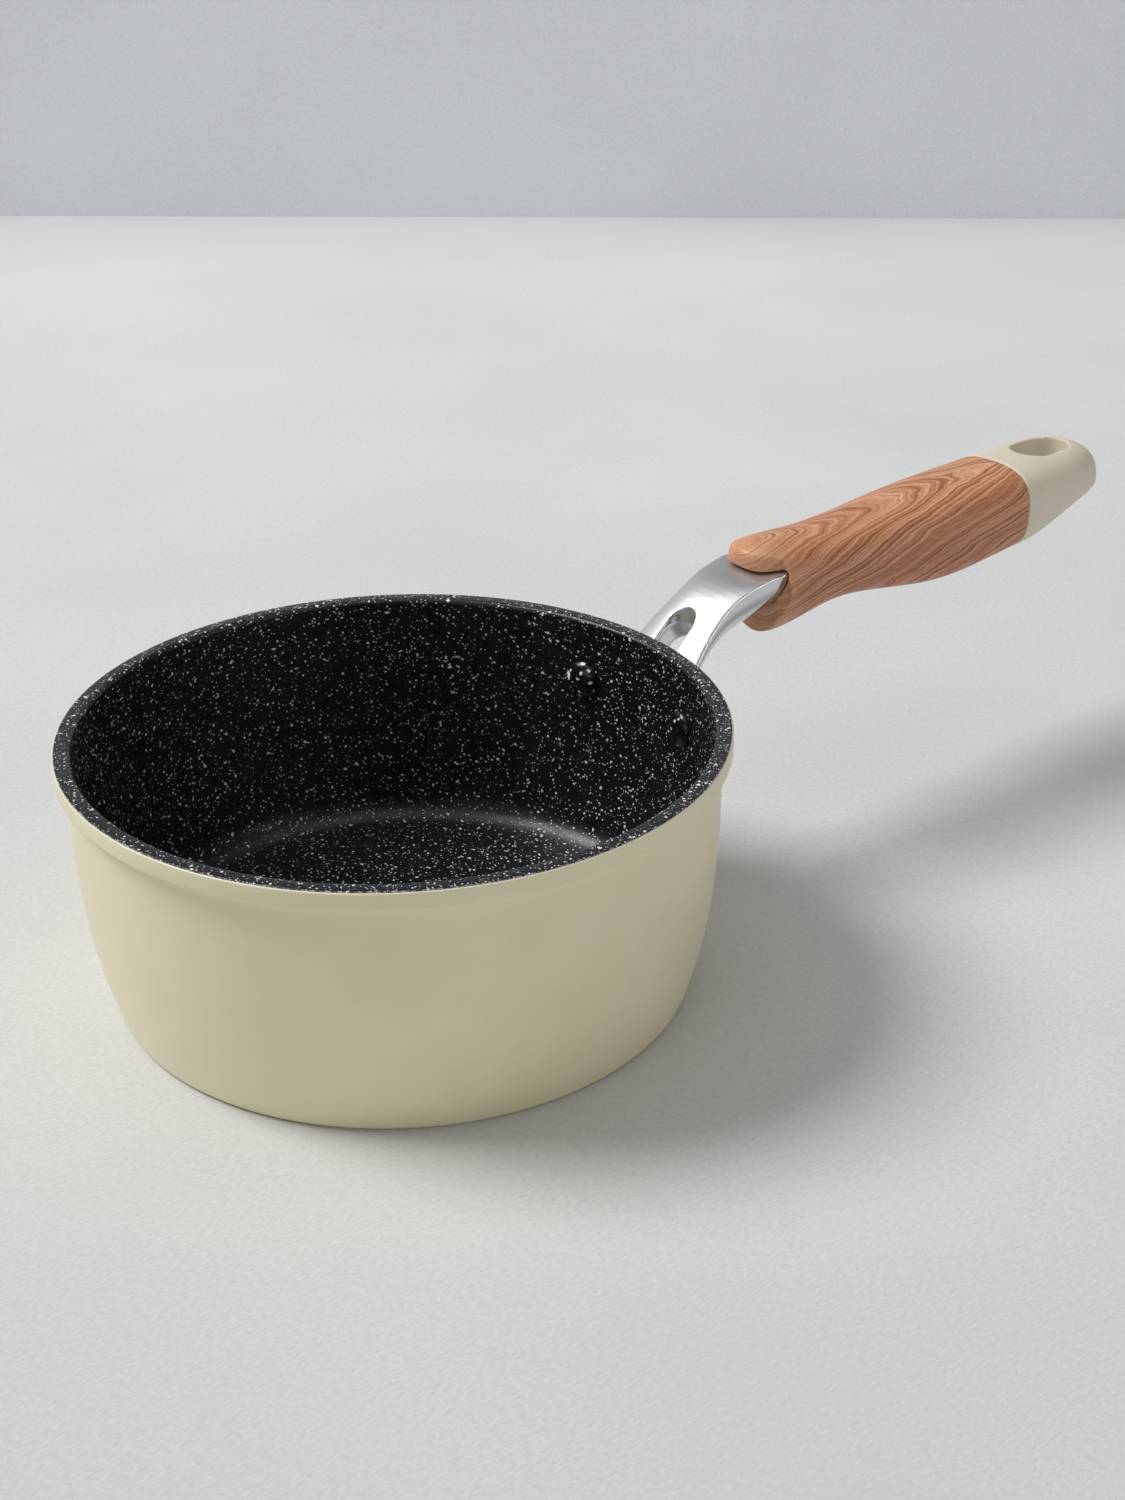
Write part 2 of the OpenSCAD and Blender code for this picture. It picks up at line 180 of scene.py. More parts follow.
def combine(base, steps, voxel=None, smoothing=0):
    # booleans against loose shapes, then an even skin with softened edges
    for kind, tool in steps:
        cut = base.modifiers.new(kind, "BOOLEAN")
        cut.operation = kind
        cut.object = tool
        cut.solver = "EXACT"
    if voxel:
        skin = base.modifiers.new("skin", "REMESH")
        skin.mode = "VOXEL"
        skin.voxel_size = voxel
        soft = base.modifiers.new("soft", "SMOOTH")
        soft.factor = 0.5
        soft.iterations = smoothing
    bakeModifiers(base)
    for _, tool in steps:
        bpy.data.objects.remove(tool)


def bakeModifiers(piece):
    bpy.context.view_layer.update()
    ready = piece.evaluated_get(bpy.context.evaluated_depsgraph_get())
    data = bpy.data.meshes.new_from_object(ready)
    piece.modifiers.clear()
    piece.data = data


def finishPiece(piece, node, material, sharpAngle=0):
    # to metres, shaded and with its finish; it stands for the node
    piece.data.transform(Matrix.Scale(0.001, 4))
    piece.data.shade_smooth()
    if sharpAngle:
        piece.data.set_sharp_from_angle(angle=radians(sharpAngle))
    piece.data.materials.clear()
    piece.data.materials.append(material)
    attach(piece, "root")
    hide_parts(node)


def feed(tree, socket, value):
    if isinstance(value, bpy.types.NodeSocket):
        tree.links.new(value, socket)
    else:
        socket.default_value = value


def put(tree, kind, sockets=None, **settings):
    node = tree.nodes.new("ShaderNode" + kind)
    for name, value in settings.items():
        setattr(node, name, value)
    for name, value in (sockets or {}).items():
        feed(tree, node.inputs[name], value)
    return node


def calc(tree, operation, *values):
    node = put(tree, "Math", operation=operation)
    for socket, value in zip(node.inputs, values):
        feed(tree, socket, value)
    return node.outputs[0]


def ramp(tree, value, low, high, start=0.0, end=1.0, smooth=True):
    kind = "SMOOTHSTEP" if smooth else "LINEAR"
    return put(tree, "MapRange", {"Value": value, "From Min": low, "From Max": high,
                                  "To Min": start, "To Max": end},
               interpolation_type=kind).outputs["Result"]


def mixColour(tree, factor, first, second, blend="MIX"):
    node = tree.nodes.new("ShaderNodeMix")
    node.data_type = "RGBA"
    node.blend_type = blend
    feed(tree, node.inputs[0], factor)
    feed(tree, node.inputs[6], first)
    feed(tree, node.inputs[7], second)
    return node.outputs[2]


def colourRamp(tree, value, stops):
    node = put(tree, "ValToRGB", {"Fac": value})
    band = node.color_ramp
    while len(band.elements) < len(stops):
        band.elements.new(0.5)
    for element, (place, colour) in zip(band.elements, stops):
        element.position = place
        element.color = colour
    return node.outputs["Color"]


def srgb(red, green, blue):
    # a colour given as on a paint card, 0 to 255
    parts = [part / 255 for part in (red, green, blue)]
    linear = [part / 12.92 if part <= 0.04045 else ((part + 0.055) / 1.055) ** 2.4
              for part in parts]
    return (*linear, 1.0)


def noise(tree, position, scale, detail=3.0, roughness=0.5):
    node = put(tree, "TexNoise", {"Vector": position, "Scale": scale, "Detail": detail,
                                  "Roughness": roughness})
    return node.outputs["Fac"]


def stretch(tree, position, scale=(1, 1, 1), turn=(0, 0, 0)):
    return put(tree, "Mapping", {"Vector": position, "Scale": scale,
                                 "Rotation": turn}).outputs["Vector"]


def newFinish(name, **values):
    # a material with one Principled shader and its position in millimetres
    material = bpy.data.materials.new(name)
    material.use_nodes = True
    tree = material.node_tree
    shader = tree.nodes["Principled BSDF"]
    for key, value in values.items():
        shader.inputs[key.replace("_", " ")].default_value = value
    place = put(tree, "TexCoord").outputs["Object"]
    position = put(tree, "VectorMath", {"Vector": place, "Scale": 1000.0},
                   operation="SCALE").outputs["Vector"]
    return material, tree, shader, position


def addBump(tree, shader, height, strength, distance=0.001):
    bump = put(tree, "Bump", {"Height": height, "Strength": strength, "Distance": distance})
    tree.links.new(bump.outputs["Normal"], shader.inputs["Normal"])


def newEffect(name, inputs, outputs):
    # an empty node group with named values in and out
    tree = bpy.data.node_groups.new(name, "ShaderNodeTree")
    for label, kind, value in inputs:
        socket = tree.interface.new_socket(label, in_out="INPUT", socket_type=kind)
        if value is not None:
            socket.default_value = value
    for label, kind in outputs:
        tree.interface.new_socket(label, in_out="OUTPUT", socket_type=kind)
    given = tree.nodes.new("NodeGroupInput").outputs
    result = tree.nodes.new("NodeGroupOutput").inputs
    return tree, given, result


def useEffect(tree, effect, sockets):
    node = tree.nodes.new("ShaderNodeGroup")
    node.node_tree = effect
    for name, value in sockets.items():
        feed(tree, node.inputs[name], value)
    return node.outputs


fleckLayers = {             # cell, unevenness, radius in the cell, share kept, turn
    "large": (2.8, 1.6, 0.2, 0.6, (0.3, 0.1, 0.7)),
    "middle": (1.55, 0.9, 0.26, 0.66, (0.9, 0.5, 0.2)),
    "small": (0.95, 0.5, 0.29, 0.5, (0.4, 0.9, 1.3)),
    "dust": (0.7, 0.4, 0.26, 0.45, (0.1, 1.1, 0.4)),
}


def makeFleckEffect():
    # irregular light flecks of three sizes, as in a stone-look coat
    tree, given, result = newEffect(
        "stoneFlecks",
        [("Position", "NodeSocketVector", None), ("Size", "NodeSocketFloat", 1.0),
         ("Amount", "NodeSocketFloat", 1.0)],
        [("Flecks", "NodeSocketFloat"), ("Dust", "NodeSocketFloat")])
    spot = put(tree, "VectorMath", {0: given["Position"]}, operation="DIVIDE")
    sizes = put(tree, "CombineXYZ", {"X": given["Size"], "Y": given["Size"],
                                     "Z": given["Size"]}).outputs[0]
    tree.links.new(sizes, spot.inputs[1])
    base = spot.outputs["Vector"]
    swirl = put(tree, "TexNoise", {"Vector": base, "Scale": 0.9, "Detail": 2.0}).outputs["Color"]
    shift = put(tree, "VectorMath", {0: swirl, 1: (0.5, 0.5, 0.5)},
                operation="SUBTRACT").outputs["Vector"]

    def layer(cell, warp, reach, keep, turn):
        moved = put(tree, "VectorMath", {0: shift, "Scale": warp}, operation="SCALE").outputs[0]
        place = put(tree, "VectorMath", {0: base, 1: moved}, operation="ADD").outputs[0]
        place = stretch(tree, place, turn=turn)
        cells = put(tree, "TexVoronoi", {"Vector": place, "Scale": 1 / cell})
        parts = put(tree, "SeparateColor", {"Color": cells.outputs["Color"]}).outputs
        chance = calc(tree, "MULTIPLY", given["Amount"], keep)
        chosen = calc(tree, "LESS_THAN", parts[0], chance)
        size = calc(tree, "MULTIPLY", ramp(tree, parts[1], 0, 1, 0.35, 1.0, False), reach)
        inner = calc(tree, "MULTIPLY", size, 0.85)
        inside = ramp(tree, cells.outputs["Distance"], inner, size, 1, 0, False)
        return calc(tree, "MULTIPLY", inside, chosen)

    large, middle, small, dust = [layer(*values) for values in fleckLayers.values()]
    flecks = calc(tree, "MAXIMUM", large, calc(tree, "MAXIMUM", middle, small))
    tree.links.new(flecks, result["Flecks"])
    tree.links.new(dust, result["Dust"])
    return tree


def makeGrainEffect():
    # fine uneven skin of sprayed or cast surfaces
    tree, given, result = newEffect(
        "fineGrain",
        [("Position", "NodeSocketVector", None), ("Grain", "NodeSocketFloat", 1.0)],
        [("Height", "NodeSocketFloat"), ("Tone", "NodeSocketFloat")])
    fine = noise(tree, given["Position"], given["Grain"], 3.0, 0.6)
    broad = noise(tree, given["Position"], 0.035, 3.0, 0.55)
    tree.links.new(fine, result["Height"])
    tree.links.new(broad, result["Tone"])
    return tree


fleckEffect = makeFleckEffect()
grainEffect = makeGrainEffect()


def radiusOf(tree, position):
    flat = put(tree, "VectorMath", {0: position, 1: (1, 1, 0)}, operation="MULTIPLY").outputs[0]
    return put(tree, "VectorMath", {0: flat}, operation="LENGTH").outputs["Value"]


enamel = {
    "light": srgb(237, 231, 196),
    "dark": srgb(234, 227, 188),
    # painted highlight colour for the rim's top edge
    "edgeHighlight": srgb(232, 232, 228),
    "highlightFrom": 0.35,       # below the top edge, where the painted highlight starts
    "highlightTo": 0.1,
    "roughness": 0.4,
    "coat": 0.3,
    "lines": 0.08,          # strength of the turning lines under the band
    "linesReach": 14,       # how far down they can be seen
}


def makeEnamel():
    material, tree, shader, position = newFinish(
        "creamEnamel", Specular_IOR_Level=0.6, Coat_Roughness=0.32)
    grain = useEffect(tree, grainEffect, {"Position": position, "Grain": 0.9})
    tone = ramp(tree, grain["Tone"], 0.3, 0.7)
    colour = mixColour(tree, tone, enamel["dark"], enamel["light"])
    high = put(tree, "SeparateXYZ", {"Vector": position}).outputs["Z"]
    # painted highlight: a pale line, broken up by noise, along the top of the cream band, where
    # the rounded rim edge catches the light
    edge = ramp(tree, high, pan["bodyTop"] - enamel["highlightFrom"], pan["bodyTop"] - enamel["highlightTo"])
    highlightBreaks = ramp(tree, noise(tree, position, 1.4, 3.0), 0.42, 0.58)
    edgeHighlight = calc(tree, "MULTIPLY", edge, highlightBreaks)
    colour = mixColour(tree, edgeHighlight, colour, enamel["edgeHighlight"])
    feed(tree, shader.inputs["Base Color"], colour)
    rough = ramp(tree, grain["Tone"], 0.25, 0.75, enamel["roughness"] - 0.04,
                 enamel["roughness"] + 0.06)
    feed(tree, shader.inputs["Roughness"], rough)
    shader.inputs["Coat Weight"].default_value = enamel["coat"]
    # faint turned lines, strongest just under the band
    turned = calc(tree, "SINE", calc(tree, "MULTIPLY", high, 9.0))
    near = ramp(tree, high, pan["bandZ"] - enamel["linesReach"], pan["bandZ"])
    waver = noise(tree, stretch(tree, position, (0.02, 0.02, 1.2)), 1.0, 2.0)
    lines = calc(tree, "MULTIPLY", calc(tree, "MULTIPLY", turned, near), waver)
    height = calc(tree, "MULTIPLY_ADD", lines, enamel["lines"], grain["Height"])
    addBump(tree, shader, height, 0.06, 0.0004)
    return material


lining = {
    "black": srgb(19, 21, 25),
    "fleck": srgb(252, 252, 250),
    "dust": srgb(104, 108, 114),
    # painted sheen: a slightly lighter black for the rim's top
    "rim": srgb(21, 23, 27),
    # painted highlight colour for the rim's outer edge
    "edge": srgb(196, 196, 190),
    "dustiness": 0.75,
    "roughness": 0.36,
}


def makeStoneCoat(name, size, amount, glossy):
    material, tree, shader, position = newFinish(name, Specular_IOR_Level=0.5)
    spots = useEffect(tree, fleckEffect, {"Position": position, "Size": size, "Amount": amount})
    high = put(tree, "SeparateXYZ", {"Vector": position}).outputs["Z"]
    radius = radiusOf(tree, position)
    onRim = ramp(tree, high, pan["bodyTop"] - 0.2, pan["height"] - 0.05)
    # painted sheen: the base is a touch lighter on the rim's top; the rim also gets extra fine
    # flecks
    ground = mixColour(tree, onRim, lining["black"], lining["rim"])
    dusty = calc(tree, "MULTIPLY", spots["Dust"], lining["dustiness"])
    dusted = mixColour(tree, dusty, ground, lining["dust"])
    fine = useEffect(tree, fleckEffect, {"Position": position, "Size": 0.55 * size,
                                         "Amount": 0.5 * amount})
    extra = calc(tree, "MULTIPLY", fine["Flecks"], onRim)
    flecks = calc(tree, "MAXIMUM", spots["Flecks"], extra)
    colour = mixColour(tree, flecks, dusted, lining["fleck"])
    # painted highlight: a ragged bright line on the rim's outer edge, where the edge catches the
    # light
    wander = noise(tree, position, 1.1, 3.0, 0.6)
    reach = calc(tree, "MULTIPLY_ADD", wander, 1.0, radius)
    rimEdgeHighlight = ramp(tree, reach, pan["rimRadius"] - 0.12, pan["rimRadius"] + 0.08)
    rimEdgeHighlight = calc(tree, "MULTIPLY", rimEdgeHighlight, onRim)
    colour = mixColour(tree, rimEdgeHighlight, colour, lining["edge"])
    feed(tree, shader.inputs["Base Color"], colour)
    uneven = noise(tree, position, 0.12, 3.0)
    rough = ramp(tree, uneven, 0.3, 0.7, glossy - 0.05, glossy + 0.07)
    feed(tree, shader.inputs["Roughness"], calc(tree, "MULTIPLY_ADD", flecks, 0.08, rough))
    grain = useEffect(tree, grainEffect, {"Position": position, "Grain": 1.6})
    height = calc(tree, "MULTIPLY_ADD", flecks, 0.35, grain["Height"])
    addBump(tree, shader, height, 0.16, 0.0005)
    return material


bracket = {
    "padThick": 3.5,
    "padHeight": 20.0,
    "padMargin": 8.0,
    "rivetSpacing": 47.0,
    "rivetDrop": 20.0,
    "neckWidth": 21.6,
    "neckThick": 9.2,
    "legThick": 5.6,
    "legClear": 6.5,
    "gap": 9.8,
    "gapReach": 15.5,
    "swell": 1.5,           # extra thickness at the bend, above and below
    "crown": 2.0,           # height of the neck's top above the ridges at its sides
    "mouthWiden": 1.5,      # the neck fills the grip's mouth at its sides
    "mouthDeepen": 2.0,     # and below
    "rimFlare": 1.7,        # how far the opening's edge flares out
    "ledgeDepth": 4.2,      # depth of the upper wall round the opening
    "ledgeReach": 1.3,
    "pocketX": mouthX + 12,
    "forkEnd": 0.62,        # where along the neck the legs have joined
    "mouthFrom": 0.5,       # where the neck starts to turn into the mouth's shape
    "mouthOver": 0.35,
    "ledgePlace": 0.36,
    "dark": srgb(206, 209, 213),
    "light": srgb(222, 224, 226),
    "polish": 0.07,         # roughness of the polished sides
    "skin": 0.4,            # grain of the even skin over the joined shapes
    "softening": 8,
}


def makeBracketMetal():
    material, tree, shader, position = newFinish("castChrome", Metallic=1.0)
    normal = put(tree, "TexCoord").outputs["Normal"]
    side = calc(tree, "ABSOLUTE", put(tree, "SeparateXYZ", {"Vector": normal}).outputs["Y"])
    speckle = noise(tree, position, 2.6, 4.0, 0.7)
    edge = calc(tree, "MULTIPLY_ADD", calc(tree, "SUBTRACT", speckle, 0.5), 0.5, side)
    polished = ramp(tree, edge, 0.62, 0.72)
    satin = ramp(tree, speckle, 0.3, 0.7, 0.36, 0.48)
    rough = put(tree, "Mix", {0: polished, 2: satin, 3: bracket["polish"]}).outputs[0]
    feed(tree, shader.inputs["Roughness"], rough)
    tone = useEffect(tree, grainEffect, {"Position": position, "Grain": 2.2})
    feed(tree, shader.inputs["Base Color"],
         mixColour(tree, tone["Tone"], bracket["dark"], bracket["light"]))
    # the blasted top has a fine grain that fades out on the polished sides
    height = calc(tree, "MULTIPLY", tone["Height"], calc(tree, "SUBTRACT", 1.0, polished))
    addBump(tree, shader, height, 0.16, 0.0004)
    return material


wood = {
    "pale": srgb(231, 178, 138),
    "tan": srgb(208, 143, 102),
    "red": srgb(172, 104, 69),
    "brown": srgb(122, 68, 45),
    "heart": handleZ + 19.5,    # height of the line that the growth rings turn about
    "sweep": 0.25,              # how fast the rings run back along the sides
    "ringScale": 0.95,
    "fineScale": 2.6,
    # painted shade for the grip's lower sides
    "side": srgb(168, 128, 100),
    "bend": 9.0,                # how far the rings wander
    "wriggle": 0.8,
}


def makeWoodFilm():
    material, tree, shader, position = newFinish("woodFilm", Specular_IOR_Level=0.5)
    parts = put(tree, "SeparateXYZ", {"Vector": position}).outputs
    drop = calc(tree, "SUBTRACT", parts["Z"], wood["heart"])
    radius = calc(tree, "SQRT", calc(tree, "ADD", calc(tree, "MULTIPLY", parts["Y"], parts["Y"]),
                                     calc(tree, "MULTIPLY", drop, drop)))
    phase = calc(tree, "MULTIPLY_ADD", parts["X"], wood["sweep"], radius)
    bend = noise(tree, stretch(tree, position, (0.022, 0.07, 0.07)), 1.0, 2.0, 0.5)
    phase = calc(tree, "MULTIPLY_ADD", bend, wood["bend"], phase)
    wriggle = noise(tree, stretch(tree, position, (0.12, 0.3, 0.3)), 1.0, 3.0, 0.55)
    phase = calc(tree, "MULTIPLY_ADD", wriggle, wood["wriggle"], phase)
    broad = put(tree, "TexNoise", {"W": phase, "Scale": 0.42 * wood["ringScale"], "Detail": 2.0,
                                   "Roughness": 0.55}, noise_dimensions="1D").outputs["Fac"]
    rings = put(tree, "TexNoise", {"W": phase, "Scale": wood["ringScale"], "Detail": 4.0,
                                   "Roughness": 0.62}, noise_dimensions="1D").outputs["Fac"]
    fine = put(tree, "TexNoise", {"W": phase, "Scale": wood["fineScale"], "Detail": 3.0,
                                  "Roughness": 0.6}, noise_dimensions="1D").outputs["Fac"]
    # fibres break the rings up into fine streaks along the handle
    fibres = noise(tree, stretch(tree, position, (0.16, 2.2, 2.2)), 1.0, 4.0, 0.7)
    mixed = calc(tree, "ADD", calc(tree, "MULTIPLY", rings, 0.38),
                 calc(tree, "ADD", calc(tree, "MULTIPLY", broad, 0.2),
                      calc(tree, "ADD", calc(tree, "MULTIPLY", fine, 0.24),
                           calc(tree, "MULTIPLY", fibres, 0.18))))
    colour = colourRamp(tree, mixed, [(0.34, wood["brown"]), (0.44, wood["red"]),
                                      (0.5, wood["tan"]), (0.59, wood["pale"])])
    # short dark pores that follow the rings
    pores = noise(tree, stretch(tree, position, (0.35, 2.6, 2.6)), 1.0, 2.0, 0.7)
    dark = ramp(tree, pores, 0.62, 0.72)
    colour = mixColour(tree, calc(tree, "MULTIPLY", dark, 0.4), colour, wood["brown"])
    # painted shade: the film is darkened down the sides, where the grip is in shade
    low = ramp(tree, parts["Z"], handleZ + 9, handleZ - 6)
    colour = mixColour(tree, calc(tree, "MULTIPLY", low, 0.35), colour,
                       wood["side"], "MULTIPLY")
    # and paler at the front of the tongue
    front = ramp(tree, parts["X"], mouthX + 14, mouthX - 4)
    colour = mixColour(tree, calc(tree, "MULTIPLY", front, 0.4), colour, wood["pale"])
    feed(tree, shader.inputs["Base Color"], colour)
    feed(tree, shader.inputs["Roughness"], ramp(tree, mixed, 0.35, 0.65, 0.5, 0.4))
    addBump(tree, shader, calc(tree, "SUBTRACT", mixed, calc(tree, "MULTIPLY", dark, 0.2)),
            0.12, 0.0004)
    return material


def makeCapPlastic():
    material, tree, shader, position = newFinish("capCream", Specular_IOR_Level=0.45)
    grain = useEffect(tree, grainEffect, {"Position": position, "Grain": 3.2})
    tone = ramp(tree, grain["Tone"], 0.3, 0.7)
    feed(tree, shader.inputs["Base Color"],
         mixColour(tree, tone, srgb(221, 212, 190), srgb(228, 220, 201)))
    feed(tree, shader.inputs["Roughness"], ramp(tree, grain["Height"], 0.3, 0.7, 0.5, 0.6))
    addBump(tree, shader, grain["Height"], 0.06, 0.0003)
    return material


def makeTurnedSteel(name, scale, tint):
    # turned marks run round the z axis, as on the plate
    material, tree, shader, position = newFinish(name, Metallic=1.0)
    radius = radiusOf(tree, position)
    marks = put(tree, "TexNoise", {"W": radius, "Scale": scale, "Detail": 3.0},
                noise_dimensions="1D").outputs["Fac"]
    grain = useEffect(tree, grainEffect, {"Position": position, "Grain": 1.8})
    feed(tree, shader.inputs["Base Color"],
         mixColour(tree, grain["Tone"], tint, srgb(190, 190, 192)))
    feed(tree, shader.inputs["Roughness"], ramp(tree, marks, 0.3, 0.7, 0.26, 0.42))
    addBump(tree, shader, marks, 0.15, 0.0003)
    return material


creamEnamel = makeEnamel()
stoneCoat = makeStoneCoat("stoneLining", 1.0, 1.0, lining["roughness"])
rivetCoat = makeStoneCoat("stoneRivet", 2.3, 1.6, 0.16)
castChrome = makeBracketMetal()
woodFilm = makeWoodFilm()
capCream = makeCapPlastic()
plateSteel = makeTurnedSteel("turnedPlate", 2.5, srgb(168, 168, 170))
fastenerSteel = makeTurnedSteel("turnedFastener", 6.0, srgb(150, 151, 154))
print("finishes made")


def wallRadius(z):
    return pan["wallRadius"] - pan["draw"] * (1 - z / pan["bandZ"]) ** 3


def wallLean(z):
    return atan(3 * pan["draw"] / pan["bandZ"] * (1 - z / pan["bandZ"]) ** 2)


def innerFace(inward):
    # the inside of the pan as (radius, height), from the middle of the floor to the rim
    corner = pan["floorCorner"]
    lean = wallLean(pan["floor"] + corner)
    z0 = pan["floor"] + corner * (1 - sin(lean))
    centre = wallRadius(z0) - pan["wall"] - corner * cos(lean)
    points = [(0, pan["floor"] + inward)]
    for step in range(13):
        turn = -pi / 2 + (pi / 2 - lean) * step / 12
        points.append((centre + (corner - inward) * cos(turn),
                       pan["floor"] + corner + (corner - inward) * sin(turn)))
    z1 = pan["bodyTop"] - pan["lip"]
    for step in range(1, 20):
        z = z0 + (z1 - z0) * step / 20
        points.append((wallRadius(z) - pan["wall"] - inward, z))
    lipX = wallRadius(pan["bodyTop"]) - pan["wall"] + pan["lip"]
    for step in range(9):
        turn = pi - pi / 2 * step / 8
        points.append((lipX + (pan["lip"] + inward) * cos(turn),
                       z1 + (pan["lip"] + inward) * sin(turn)))
    points.append((pan["rimRadius"] - pan["rimEdge"], pan["bodyTop"] + inward))
    return points


def upright(points):
    return [(radius, 0, z) for radius, z in points]


def makePanShell():
    footTop, footRise = pan["footCorner"], pan["footRise"]
    recess = plateHigh.x + pan["plateGap"]
    outline = [(0, plateHigh.z), (recess, plateHigh.z), (recess, 0),
               (wallRadius(0) + pan["footReach"], 0)]
    foot = len(outline) - 1
    for step in range(1, 21):
        z = footTop + footRise + (pan["bandZ"] - footTop - footRise) * step / 20
        outline.append((wallRadius(z), z))
    under = len(outline) - 1
    outline += [(pan["rimRadius"], pan["bandZ"]), (pan["rimRadius"], pan["bodyTop"])]
    outline += list(reversed(innerFace(0)))
    rounds = {1: 0.3, 2: 0.4, foot: 1.6, under: 0.7, under + 1: 0.9, under + 2: 0.45}
    mesh = spinLine(upright(outline), rounds, pan["steps"])
    shell = looseObject(mesh, "panShell")
    finishPiece(shell, "pan_body", creamEnamel, 50)


def makeLiningSkin():
    outline = innerFace(pan["coat"]) + list(reversed(innerFace(0)))
    edge = len(innerFace(0)) - 1
    mesh = spinLine(upright(outline), {edge: 0.25}, pan["steps"])
    skin = looseObject(mesh, "liningSkin")
    finishPiece(skin, "nonstick_lining", stoneCoat, 50)


padGap = 0.05               # between the pan's wall and the bracket's pad
rivets = {
    "headWidth": 12.0,
    "headHeight": 2.5,
    "shank": 5.0,
    "tailWidth": 9.5,
    "tailHeight": 1.8,
}
rivetZ = pan["height"] - bracket["rivetDrop"]
rivetAngle = asin(bracket["rivetSpacing"] / 2 / wallRadius(rivetZ))


def makeRivet(name, node, side):
    # head inside the pan, shank through the wall, closed end on the bracket
    inner = wallRadius(rivetZ) - pan["wall"] - pan["coat"]
    head = rivets["headWidth"] / 2
    seat = sqrt(inner ** 2 - head ** 2)
    outer = wallRadius(rivetZ) + padGap + bracket["padThick"]
    tail = rivets["tailWidth"] / 2
    outline = [(0, seat - rivets["headHeight"])]
    for step in range(1, 9):
        turn = pi / 2 * step / 8
        outline.append((head * sin(turn) ** 0.9, seat - rivets["headHeight"] * cos(turn) ** 1.15))
    outline += [(head - 0.2, seat + 0.15), (rivets["shank"] / 2, seat + 0.2),
                (rivets["shank"] / 2, outer), (tail, outer)]
    for step in range(1, 8):
        turn = pi / 2 * step / 7
        outline.append((tail * cos(turn), outer + rivets["tailHeight"] * sin(turn)))
    mesh = spinLine(upright(outline), None, 48)
    turned = Matrix.Rotation(side * rivetAngle, 4, "Z") @ Matrix.Translation((0, 0, rivetZ))
    bmesh.ops.transform(mesh, matrix=turned @ Matrix.Rotation(pi / 2, 4, "Y"), verts=mesh.verts)
    bmesh.ops.recalc_face_normals(mesh, faces=mesh.faces)
    finishPiece(looseObject(mesh, name), node, rivetCoat, 50)


makePanShell()
makeLiningSkin()
makeRivet("rivetLeft", "rivet_left", 1)
makeRivet("rivetRight", "rivet_right", -1)
print("pan and rivets made")


def signedPower(value, power):
    return (1 if value > 0 else -1) * abs(value) ** power


def neckPlace(t):
    # centre line of the legs and neck, from the pad to the floor of the grip's mouth
    startZ = rivetZ + 2
    marks = [Vector((pan["wallRadius"], startZ)),
             Vector((pan["wallRadius"] + 12, startZ + 0.55 * (handleZ - startZ))),
             Vector((pan["rimRadius"] + bracket["gapReach"] + 7.5, handleZ)),
             Vector((bracket["pocketX"], handleZ))]
    point = ((1 - t) ** 3 * marks[0] + 3 * (1 - t) ** 2 * t * marks[1]
             + 3 * (1 - t) * t * t * marks[2] + t ** 3 * marks[3])
    run = ((1 - t) ** 2 * (marks[1] - marks[0]) + 2 * (1 - t) * t * (marks[2] - marks[1])
           + t * t * (marks[3] - marks[2]))
    return point, atan2(run.y, run.x)


def neckSection(t, turn):
    # the neck's own outline: half the width across, and up from its centre line
    forkWidth = bracket["rivetSpacing"] - 2 * bracket["legClear"]
    flare = max(0, 1 - t / bracket["forkEnd"]) ** 1.15
    halfWidth = bracket["neckWidth"] / 2 + (forkWidth - bracket["neckWidth"]) / 2 * flare
    halfThick = (bracket["legThick"] / 2
                 + (bracket["neckThick"] - bracket["legThick"]) / 2 * min(1, 1.4 * t)
                 + bracket["swell"] * sin(pi * t ** 1.5) ** 2)
    # the crown fades out at the mouth
    flatter = min(1, max(0, (t - bracket["mouthFrom"]) / bracket["mouthOver"]))
    halfWidth += bracket["mouthWiden"] * flatter
    ridge = halfThick - min(bracket["crown"], halfThick) * (1 - 0.9 * flatter)
    belly = halfThick + ridge + bracket["mouthDeepen"] * (0.7 + 0.3 * flatter)
    across = halfWidth * signedPower(cos(turn), 0.85 - 0.2 * flatter)
    part = min(1, abs(across) / halfWidth)
    if sin(turn) >= 0:      # a shallow crown from ridge to ridge
        return across, ridge + (halfThick - ridge) * (1 - part ** 2.4)
    # a deeper rounded belly below the ridges
    return across, ridge - belly * (1 - part ** (3.0 + 0.6 * flatter)) ** 0.5


def neckRing(t, count=56):
    point, tilt = neckPlace(t)
    ring = []
    for step in range(count):
        across, up = neckSection(t, 2 * pi * step / count)
        ring.append((point.x - up * sin(tilt), across, point.y + up * cos(tilt)))
    return ring


